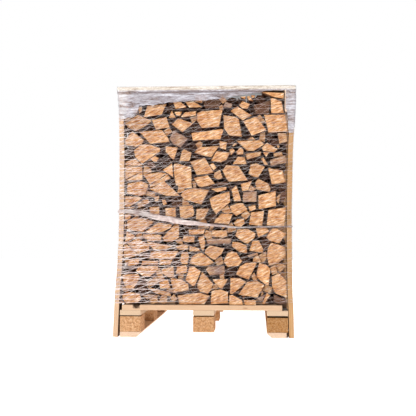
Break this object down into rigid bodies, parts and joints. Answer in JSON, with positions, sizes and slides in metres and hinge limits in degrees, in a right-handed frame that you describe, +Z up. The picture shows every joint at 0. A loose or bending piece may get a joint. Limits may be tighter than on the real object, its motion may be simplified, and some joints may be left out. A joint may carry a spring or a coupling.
{
  "type": "palletised firewood stack",
  "caption": "Split firewood logs stacked on a wooden pallet between side posts, wrapped in knitted net and capped with clear film.",
  "frame": {"origin": "on the ground under the middle of the stack", "axes": "+Z up, -Y out of the front where the cut ends of the logs show, +X to the right seen from the front"},
  "size_m": [0.874, 1.2216, 1.1995],
  "materials": {
    "split_log": "split and saw-cut hardwood with some bark",
    "sawn_spruce": "rough sawn, weathered a little",
    "fresh_spruce": "rough sawn, fresh",
    "chipboard": "pressed chip block",
    "net_thread": "thin knitted polyethylene tape",
    "clear_film": "thin clear film, wrinkled"
  },
  "bodies": {
    "root": {"block_left_back": "chipboard", "block_left_front": "chipboard", "block_left_middle": "chipboard", "block_middle_back": "chipboard", "block_middle_front": "chipboard", "block_middle_middle": "chipboard", "block_right_back": "chipboard", "block_right_front": "chipboard", "block_right_middle": "chipboard", "crossbar_back": "fresh_spruce", "crossbar_front": "fresh_spruce", "deck_board_1": "sawn_spruce", "deck_board_2": "sawn_spruce", "deck_board_3": "sawn_spruce", "deck_board_4": "sawn_spruce", "deck_board_5": "sawn_spruce", "deck_board_6": "sawn_spruce", "deck_board_7": "sawn_spruce", "film_cap": "clear_film", "gathered_band": "net_thread", "log_row_1": "split_log", "log_row_2": "split_log", "log_row_3": "split_log", "log_row_4": "split_log", "net_wrap": "net_thread", "post_left_back": "sawn_spruce", "post_left_front": "sawn_spruce", "post_left_middle": "sawn_spruce", "post_right_back": "sawn_spruce", "post_right_front": "sawn_spruce", "post_right_middle": "sawn_spruce", "rail_left": "sawn_spruce", "rail_right": "sawn_spruce", "skid_left": "sawn_spruce", "skid_right": "sawn_spruce", "stringer_left": "fresh_spruce", "stringer_middle": "fresh_spruce", "stringer_right": "fresh_spruce"}
  },
  "joints": []
}
